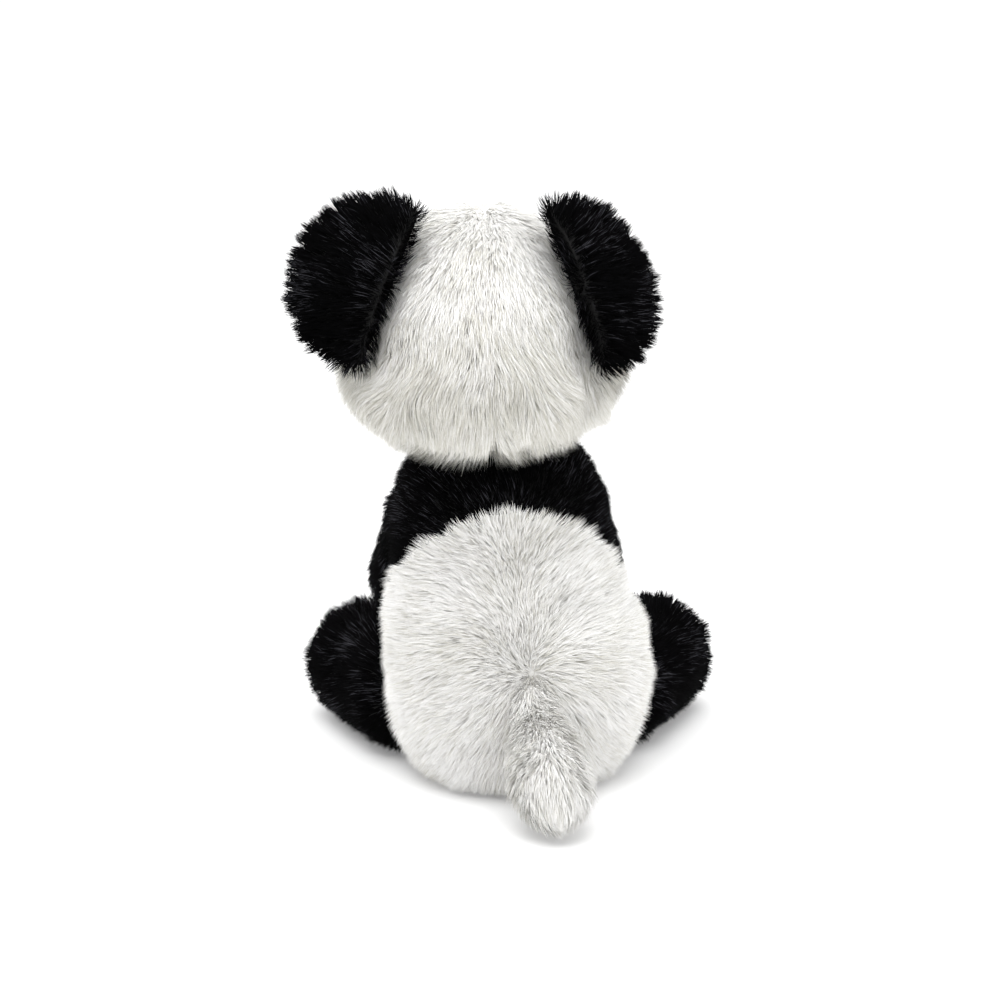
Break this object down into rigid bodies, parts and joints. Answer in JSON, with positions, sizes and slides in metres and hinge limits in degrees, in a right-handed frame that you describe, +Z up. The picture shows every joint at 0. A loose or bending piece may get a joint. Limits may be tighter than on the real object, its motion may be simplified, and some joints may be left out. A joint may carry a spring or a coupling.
{
  "type": "plush toy",
  "caption": "Sitting plush panda with sewn pile covers over stuffing, flexible neck, arms, legs, ears and tail, and a weighted seat.",
  "frame": {"origin": "middle of the flat seat, on the surface the toy sits on", "axes": "+Z up, the face looks along -Y, the panda's left side is +X"},
  "size_m": [0.1861, 0.196, 0.2527],
  "materials": {
    "white_pile": "long soft white pile, matt with a faint sheen",
    "black_pile": "short soft black pile with fine bright hair tips",
    "fibre_fill": "polyester fibre stuffing",
    "bag_cloth": "plain woven inner bag",
    "bean_plastic": "plastic beans",
    "black_plastic": "polished moulded plastic",
    "washer_plastic": "plain moulded plastic",
    "thread": "embroidery thread"
  },
  "bodies": {
    "torso": {"yoke_back": "black_pile", "yoke_chest": "black_pile", "belly_panel": "white_pile", "back_panel_left": "white_pile", "back_panel_right": "white_pile", "seat_panel": "white_pile", "torso_fill": "fibre_fill", "pellet_bag": "bag_cloth", "pellets": "bean_plastic"},
    "neck": {"neck_fill": "fibre_fill"},
    "head": {"face_left": "white_pile", "face_right": "white_pile", "head_back_left": "white_pile", "head_back_right": "white_pile", "head_fill": "fibre_fill", "left_eye": "black_plastic", "left_eye_patch": "black_pile", "left_eye_washer": "washer_plastic", "mouth_stitches": "thread", "muzzle_cover": "white_pile", "muzzle_fill": "fibre_fill", "nose": "black_plastic", "nose_washer": "washer_plastic", "right_eye": "black_plastic", "right_eye_patch": "black_pile", "right_eye_washer": "washer_plastic"},
    "tail": {"tail_left": "white_pile", "tail_right": "white_pile", "tail_fill": "fibre_fill"},
    "left_ear": {"left_ear_back": "black_pile", "left_ear_front": "black_pile"},
    "left_arm": {"left_arm_outer": "black_pile", "left_arm_inner": "black_pile", "left_arm_fill": "fibre_fill"},
    "left_leg": {"left_leg_outer": "black_pile", "left_leg_inner": "black_pile", "left_sole": "black_pile", "left_leg_fill": "fibre_fill"},
    "right_ear": {"right_ear_back": "black_pile", "right_ear_front": "black_pile"},
    "right_arm": {"right_arm_outer": "black_pile", "right_arm_inner": "black_pile", "right_arm_fill": "fibre_fill"},
    "right_leg": {"right_leg_outer": "black_pile", "right_leg_inner": "black_pile", "right_sole": "black_pile", "right_leg_fill": "fibre_fill"}
  },
  "joints": [
    {"name": "head_turn", "type": "hinge", "parent": "torso", "child": "neck", "pos_m": [0.01057, 0, 0.1406], "axis": [0, 0, 1], "range_deg": [-50, 50], "stiffness_Nm_per_rad": 0.08},
    {"name": "head_nod", "type": "hinge", "parent": "neck", "child": "head", "pos_m": [0.01057, 0, 0.1406], "axis": [1, 0, 0], "range_deg": [-15, 20], "stiffness_Nm_per_rad": 0.6},
    {"name": "tail_lift", "type": "hinge", "parent": "torso", "child": "tail", "pos_m": [-0.001, 0.05, 0.0475], "axis": [0.9926, 0.0955, -0.0752], "range_deg": [0, 60], "stiffness_Nm_per_rad": 0.05},
    {"name": "left_arm_swing", "type": "hinge", "parent": "torso", "child": "left_arm", "pos_m": [0.04131, -0.012, 0.10921], "axis": [-0.9968, -0.0783, -0.0187], "range_deg": [0, 55], "stiffness_Nm_per_rad": 0.12},
    {"name": "left_leg_splay", "type": "hinge", "parent": "torso", "child": "left_leg", "pos_m": [0.045, -0.028, 0.025], "axis": [0, 0, 1], "range_deg": [-16, 24], "stiffness_Nm_per_rad": 0.15},
    {"name": "left_ear_fold", "type": "hinge", "parent": "head", "child": "left_ear", "pos_m": [0.05959, 0.02811, 0.2185], "axis": [-0.3718, -0.2323, 0.8988], "range_deg": [-25, 35], "stiffness_Nm_per_rad": 0.02},
    {"name": "right_arm_swing", "type": "hinge", "parent": "torso", "child": "right_arm", "pos_m": [-0.02451, -0.012, 0.11416], "axis": [-0.9828, 0.0783, 0.1675], "range_deg": [0, 55], "stiffness_Nm_per_rad": 0.12},
    {"name": "right_leg_splay", "type": "hinge", "parent": "torso", "child": "right_leg", "pos_m": [-0.045, -0.028, 0.025], "axis": [0, 0, -1], "range_deg": [-16, 24], "stiffness_Nm_per_rad": 0.15},
    {"name": "right_ear_fold", "type": "hinge", "parent": "head", "child": "right_ear", "pos_m": [-0.02291, 0.03751, 0.2185], "axis": [-0.31, 0.31, -0.8988], "range_deg": [0, 60], "stiffness_Nm_per_rad": 0.02}
  ]
}
